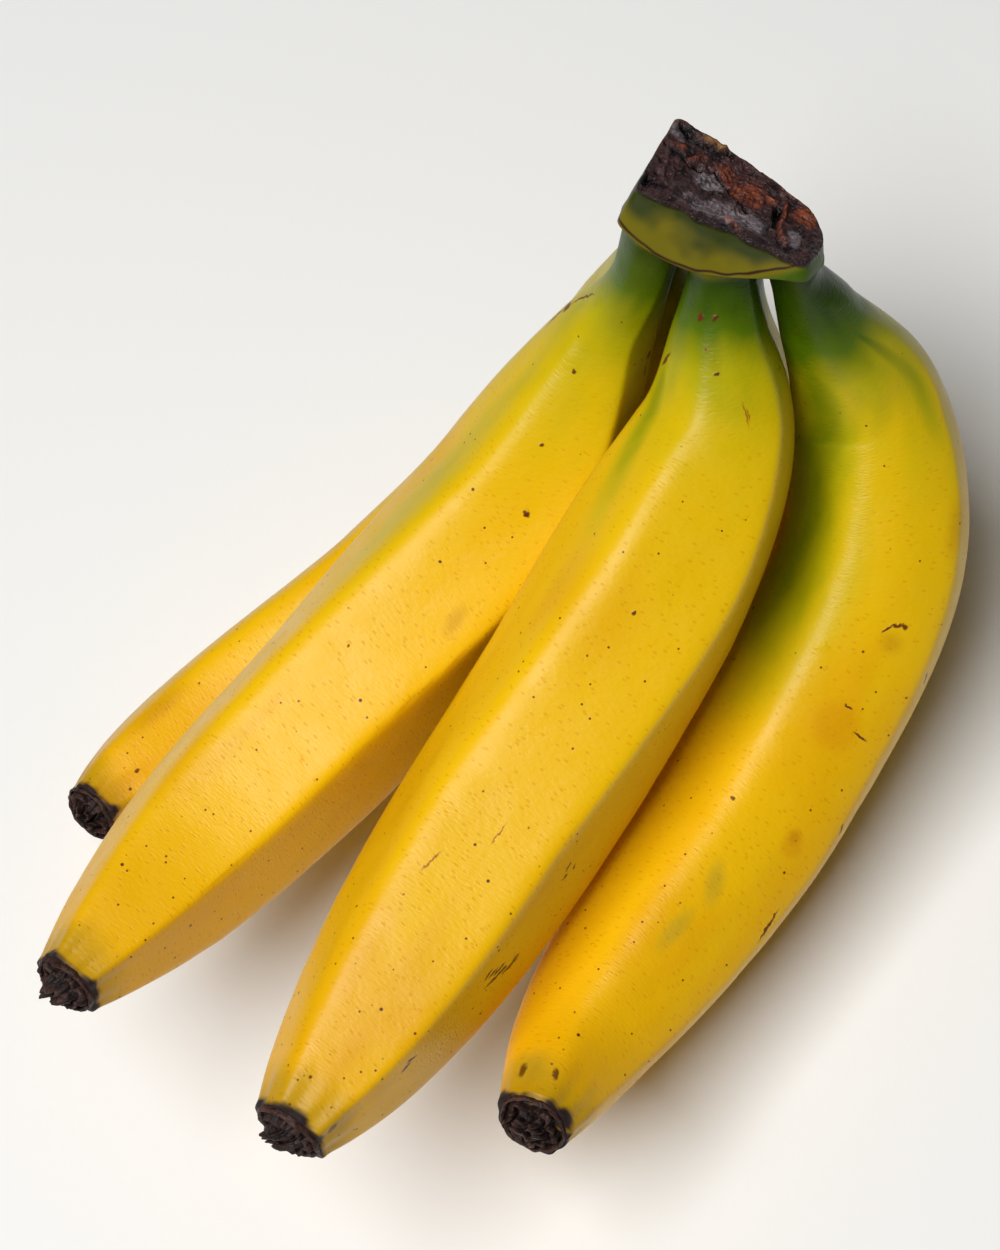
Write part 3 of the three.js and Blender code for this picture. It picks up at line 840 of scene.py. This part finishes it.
def peel_material(name, banana, settings):
    """Ripe banana peel: a smooth waxy skin, green at the neck and even warm yellow beyond it, with
    fine ochre dashes, brown specks, rubbed ridges, scars, and a dry purple-brown edge at the tip.
    Its gloss is soft and wide, broken by the embossed dashes."""
    tones = ("green", "ripe", "ochre", "rubbed", "stale", "dry", "specked", "pale", "parting")
    material, tree, tone = new_material(name, tones)
    at = add(tree, "TexCoord", out="Object")
    straight = add(tree, "Attribute", out="Vector", attribute_name="straight")
    # The ramp's darkest green, at the crown end, is partly painted shade from the crown.
    colour = add(tree, "ValToRGB", [tone["green"]], stops=[
        (0, settings.ripe), (0.13, settings.turning), (0.38, settings.unripe),
        (0.72, settings.neck), (1, settings.shade),
    ])

    # Ochre dashes about 1 mm long across the banana, one in every 3 mm or so, pressed into the skin.
    flat = add(tree, "Mapping", {"Vector": straight, "Scale": (1, 1, 2.3)})
    near = add(tree, "TexVoronoi", {"Vector": flat, "Scale": 1 / (2.4 * MM)}, "Distance")
    dashes = add(tree, "MapRange", [near, 0.27, 0.12], interpolation_type="SMOOTHSTEP")
    ripe_dashes = add(tree, "Math", [dashes, tone["ripe"]], operation="MULTIPLY")
    ripe_dashes = add(tree, "Math", [ripe_dashes, 0.42], operation="MULTIPLY")
    coats = [
        (tone["ochre"], settings.ochre), (ripe_dashes, settings.ochre),
        (tone["rubbed"], settings.rubbed),
    ]

    # Specks: small ones in cells of 2.4 mm, and a few dark ones in cells of 6 mm.
    for cell, radius, tint in ((2.4, 0.25, settings.speck), (6, 0.36, settings.scar)):
        cells = add(tree, "TexVoronoi", {"Vector": at, "Scale": 1 / (cell * MM)}, None)
        edges = [cells.outputs["Distance"], 1.2 * radius / cell, 0.6 * radius / cell]
        dot = add(tree, "MapRange", edges, interpolation_type="SMOOTHSTEP")
        chance = add(tree, "SeparateColor", [cells.outputs["Color"]], "Red")
        here = add(tree, "Math", [chance, tone["specked"]], operation="LESS_THAN")
        coats.append((add(tree, "Math", [dot, here], operation="MULTIPLY"), tint))

    # Marks, with edges made ragged by about 0.5 mm.
    ragged = add(tree, "TexNoise", {"Vector": straight, "Scale": 1 / (1.2 * MM), "Detail": 2}, "Color")
    centred = add(tree, "VectorMath", [ragged, (0.5, 0.5, 0.5)], operation="SUBTRACT")
    drawn = add(
        tree, "VectorMath", [centred, (1.1 * MM, 1.1 * MM, 1.1 * MM), straight],
        operation="MULTIPLY_ADD",
    )
    kinds = {
        "deep": (settings.ochre, 0.4, 0.4), "bruise": (settings.bruise, 0.75, 0.36),
        "rub": (settings.rubbed, 0.8, 0.28), "scratch": (settings.rubbed, 0.5, 0.9),
        "ring": (settings.turning, 0.5, 0.5),
        "scar": (settings.scar, 0.4, 0.95),
    }
    raised = 0.0
    for kind, (tint, softness, strength) in kinds.items():
        for mark in banana["marks"]:
            if mark[0] != kind:
                continue
            share = mark_share(tree, drawn, banana, mark, softness)
            coats.append((add(tree, "Math", [share, strength], operation="MULTIPLY"), tint))
            if kind in ("scar", "ring"):
                raised = add(tree, "Math", [share, raised], operation="MAXIMUM")

    coats += [
        (tone["pale"], settings.unripe), (tone["parting"], settings.parting),
        (tone["stale"], settings.stale), (tone["dry"], settings.dry),
    ]
    slow = add(tree, "TexNoise", {"Vector": at, "Scale": 1 / (6 * MM), "Detail": 3}, "Fac")
    pores = add(tree, "TexNoise", {"Vector": flat, "Scale": 1 / (1.3 * MM), "Detail": 2}, "Fac")
    rough = add(tree, "MapRange", [slow, 0.3, 0.7, 0.31, 0.43])
    rough = add(tree, "Math", [tone["dry"], 0.25, rough], operation="MULTIPLY_ADD")
    finished(tree, {
        "Base Color": painted(tree, colour, coats), "Roughness": rough, "IOR": 1.45,
        "Specular IOR Level": 0.28,
        "Normal": embossed(tree, [
            (slow, 0.16 * MM), (pores, 0.075 * MM), (dashes, -0.025 * MM), (raised, 0.1 * MM),
        ]),
    })
    return material


def crown_material(settings, peel):
    """Banana crown: smooth olive skin below a dried cut. The cut is purple-brown, rough and partly
    glossy, with grey bloom that also paints its glints, rusty patches, cracks and sunken places made
    nearly black with painted shade, and a torn tan edge along its back."""
    tones = (
        "on_cut", "bloom_and_glint", "rust", "torn", "hollow", "deep", "cut", "mossy", "neck", "parting",
    )
    material, tree, tone = new_material("dried banana crown", tones)
    place = add(tree, "Attribute", out="Vector", attribute_name="crown_place")
    coarse = add(tree, "TexNoise", {"Vector": place, "Scale": 1 / (3.4 * MM), "Detail": 3}, "Fac")
    fine = add(tree, "TexNoise", {
        "Vector": place, "Scale": 1 / (1.1 * MM), "Detail": 4, "Distortion": 0.7,
    }, "Fac")

    skin = painted(tree, settings.skin, [
        (tone["mossy"], settings.skin_green), (tone["neck"], peel.neck),
        (add(tree, "Math", [tone["neck"], coarse], operation="MULTIPLY"), peel.shade),
        (tone["parting"], peel.parting),
    ])
    # The bloom coat is partly painted reflection: grey laid where the cut glints.
    patchy = {
        "cut": (0.2, 0.4, 0.9), "bloom_and_glint": (0.34, 0.58, 0.8), "rust": (0.38, 0.6, 0.8),
        "torn": (0.3, 0.5, 0.9),
    }
    coats = [(add(tree, "MapRange", [coarse, 0.4, 0.62]), settings.dark)]
    for name, (low, high, strength) in patchy.items():
        share = add(tree, "MapRange", [fine, low, high, 0.2 * strength, strength])
        share = add(tree, "Math", [share, tone[name]], operation="MULTIPLY")
        coats.append((share, getattr(settings, name)))
    # The hollow and deep coats are painted shade: the cut's cracks and sunken places laid over in near
    # black.
    coats += [(tone["hollow"], settings.hollow), (tone["deep"], settings.hollow)]
    face = painted(tree, settings.cut, coats)

    gloss = add(tree, "MapRange", [fine, 0.35, 0.65, 0.17, 0.45])
    rough = add(tree, "Mix", {
        "Factor_Float": tone["on_cut"], "A_Float": 0.5, "B_Float": gloss,
    }, "Result_Float", data_type="FLOAT")
    wrinkles = add(tree, "Math", [fine, tone["on_cut"]], operation="MULTIPLY")
    finished(tree, {
        "Base Color": painted(tree, skin, [(tone["on_cut"], face)]), "Roughness": rough,
        "IOR": 1.45, "Specular IOR Level": 0.3,
        "Normal": embossed(tree, [(wrinkles, 0.85 * MM), (coarse, 0.12 * MM)]),
    })
    return material


def husk_material(settings):
    """Dry blossom husk: dead, brittle plant fibre, purple-brown on its raised torn edges and nearly
    black in its hollows, the black there partly painted shade; dull with a few glints."""
    material, tree, tone = new_material("dry blossom husk", ["pale"])
    at = add(tree, "TexCoord", out="Object")
    fibres = add(tree, "TexNoise", {
        "Vector": at, "Scale": 1 / (0.9 * MM), "Detail": 4, "Distortion": 0.6,
    }, "Fac")
    patchy = add(tree, "MapRange", [fibres, 0.35, 0.65, 0.3, 1.0])
    edges = add(tree, "Math", [patchy, tone["pale"]], operation="MULTIPLY")
    finished(tree, {
        "Base Color": painted(tree, settings.dark, [(edges, settings.light)]),
        "Roughness": add(tree, "MapRange", [fibres, 0.3, 0.7, 0.38, 0.7]), "IOR": 1.5,
        "Specular IOR Level": 0.25,
        "Normal": embossed(tree, [(fibres, 0.35 * MM)]),
    })
    return material


def floor_material(settings):
    """Smooth matt board for the floor: even, pale and without gloss."""
    material, tree, _ = new_material("matt white board")
    finished(tree, {"Base Color": settings.floor, "Roughness": 0.9})
    return material


# Operators


class BUNCH_OT_bananas(bpy.types.Operator):
    """Build the five bananas"""

    bl_idname = "mesh.bunch_bananas"
    bl_label = "Add bananas"

    def execute(self, context):
        settings = context.scene.banana_bunch.peel
        for seed, (node, banana) in enumerate(BANANAS.items()):
            rings, line, tones, vectors = banana_grid(banana, settings, 20 * seed + 3)
            piece = closed_skin(
                "peel_" + node.removeprefix("banana_"), rings, rings[0].mean(0), line[-1],
                tones, vectors, "root", [node],
            )
            name = "ripe banana peel, " + node.removeprefix("banana_").replace("_", " ")
            piece.data.materials.append(peel_material(name, banana, settings))
        return {"FINISHED"}


class BUNCH_OT_crown(bpy.types.Operator):
    """Build the crown that the bananas grow from, with its dried cut"""

    bl_idname = "mesh.bunch_crown"
    bl_label = "Add crown"

    def execute(self, context):
        settings = context.scene.banana_bunch
        rings, tones, vectors = crown_grid(settings.crown, settings.peel.join / MM)
        piece = closed_skin(
            "cut_crown", rings, rings[0].mean(0), rings[-1].mean(0),
            tones, vectors, "root", ["crown"],
        )
        piece.data.materials.append(crown_material(settings.crown, settings.peel))
        return {"FINISHED"}


class BUNCH_OT_blossom_ends(bpy.types.Operator):
    """Build the dry blossom end on the tip of each banana"""

    bl_idname = "mesh.bunch_blossom_ends"
    bl_label = "Add blossom ends"

    def execute(self, context):
        material = husk_material(context.scene.banana_bunch.blossom)
        for seed, (node, banana) in enumerate(BANANAS.items()):
            rings, tones = blossom_grid(banana, 20 * seed + 101)
            node = node.replace("banana", "blossom_end")
            piece = closed_skin(
                "dry_" + node, rings, rings[0].mean(0), rings[-1].mean(0),
                tones, {}, "root", [node],
            )
            piece.data.materials.append(material)
        return {"FINISHED"}


class BUNCH_OT_stage(bpy.types.Operator):
    """Set the floor, the lights and the camera"""

    bl_idname = "scene.bunch_stage"
    bl_label = "Add stage"

    def execute(self, context):
        scene, settings = context.scene, context.scene.banana_bunch.stage
        row = FLOOR_SQUARES + 1
        along = np.linspace(-FLOOR_HALF_WIDTH, FLOOR_HALF_WIDTH, row)
        x, y = np.meshgrid(along, along)
        points = np.stack([x, y, 0 * x], -1).reshape(-1, 3)
        i = np.arange(FLOOR_SQUARES)
        corner = (i[:, None] * row + i).ravel()
        faces = np.stack([corner, corner + 1, corner + row + 1, corner + row], -1)
        mesh = bpy.data.meshes.new("floor")
        mesh.from_pydata(points.tolist(), [], faces.tolist())
        floor = bpy.data.objects.new("floor", mesh)
        scene.collection.objects.link(floor)
        mesh.materials.append(floor_material(settings))

        lamp = bpy.data.lights.new("key light", "AREA")
        lamp.shape = "SQUARE"
        lamp.size = KEY_WIDTH
        lamp.energy = settings.key
        holder = bpy.data.objects.new("key light", lamp)
        way = Vector(KEY_WAY).normalized()
        turn = way.to_track_quat("Z", "Y").to_matrix().to_4x4()
        holder.matrix_world = Matrix.Translation(Vector(LIT_PLACE) + KEY_DISTANCE * way) @ turn
        scene.collection.objects.link(holder)

        world = bpy.data.worlds.new("soft studio")
        world.use_nodes = True
        world.node_tree.nodes["Background"].inputs["Color"].default_value = (1, 1, 1, 1)
        world.node_tree.nodes["Background"].inputs["Strength"].default_value = settings.fill
        scene.world = world
        scene.view_settings.view_transform = "Standard"

        camera = bpy.data.cameras.new("camera")
        camera.sensor_width = CAMERA_SENSOR
        camera.lens = CAMERA_LENS
        camera.clip_start, camera.clip_end = 0.01, 20
        holder = bpy.data.objects.new("camera", camera)
        turn = Matrix(CAMERA_TURN).transposed().to_4x4()
        holder.matrix_world = Matrix.Translation(CAMERA_PLACE) @ turn
        scene.collection.objects.link(holder)
        scene.camera = holder
        return {"FINISHED"}


class BUNCH_PT_panel(bpy.types.Panel):
    """The bunch's pieces and settings"""

    bl_label = "Bunch of bananas"
    bl_idname = "BUNCH_PT_panel"
    bl_space_type = "VIEW_3D"
    bl_region_type = "UI"
    bl_category = "Bananas"

    def draw(self, context):
        settings = context.scene.banana_bunch
        for group, operator in (
            (settings.peel, BUNCH_OT_bananas), (settings.crown, BUNCH_OT_crown),
            (settings.blossom, BUNCH_OT_blossom_ends), (settings.stage, BUNCH_OT_stage),
        ):
            box = self.layout.box()
            box.operator(operator.bl_idname)
            for key in group.__annotations__:
                box.prop(group, key)


CLASSES = (
    PeelSettings, CrownSettings, BlossomSettings, StageSettings, BunchSettings,
    BUNCH_OT_bananas, BUNCH_OT_crown, BUNCH_OT_blossom_ends, BUNCH_OT_stage, BUNCH_PT_panel,
)


def register():
    for cls in CLASSES:
        bpy.utils.register_class(cls)
    bpy.types.Scene.banana_bunch = PointerProperty(type=BunchSettings)


def unregister():
    del bpy.types.Scene.banana_bunch
    for cls in reversed(CLASSES):
        bpy.utils.unregister_class(cls)


def main():
    register()
    bpy.ops.mesh.bunch_bananas()
    bpy.ops.mesh.bunch_crown()
    bpy.ops.mesh.bunch_blossom_ends()
    bpy.ops.scene.bunch_stage()


if __name__ == "__main__":
    main()
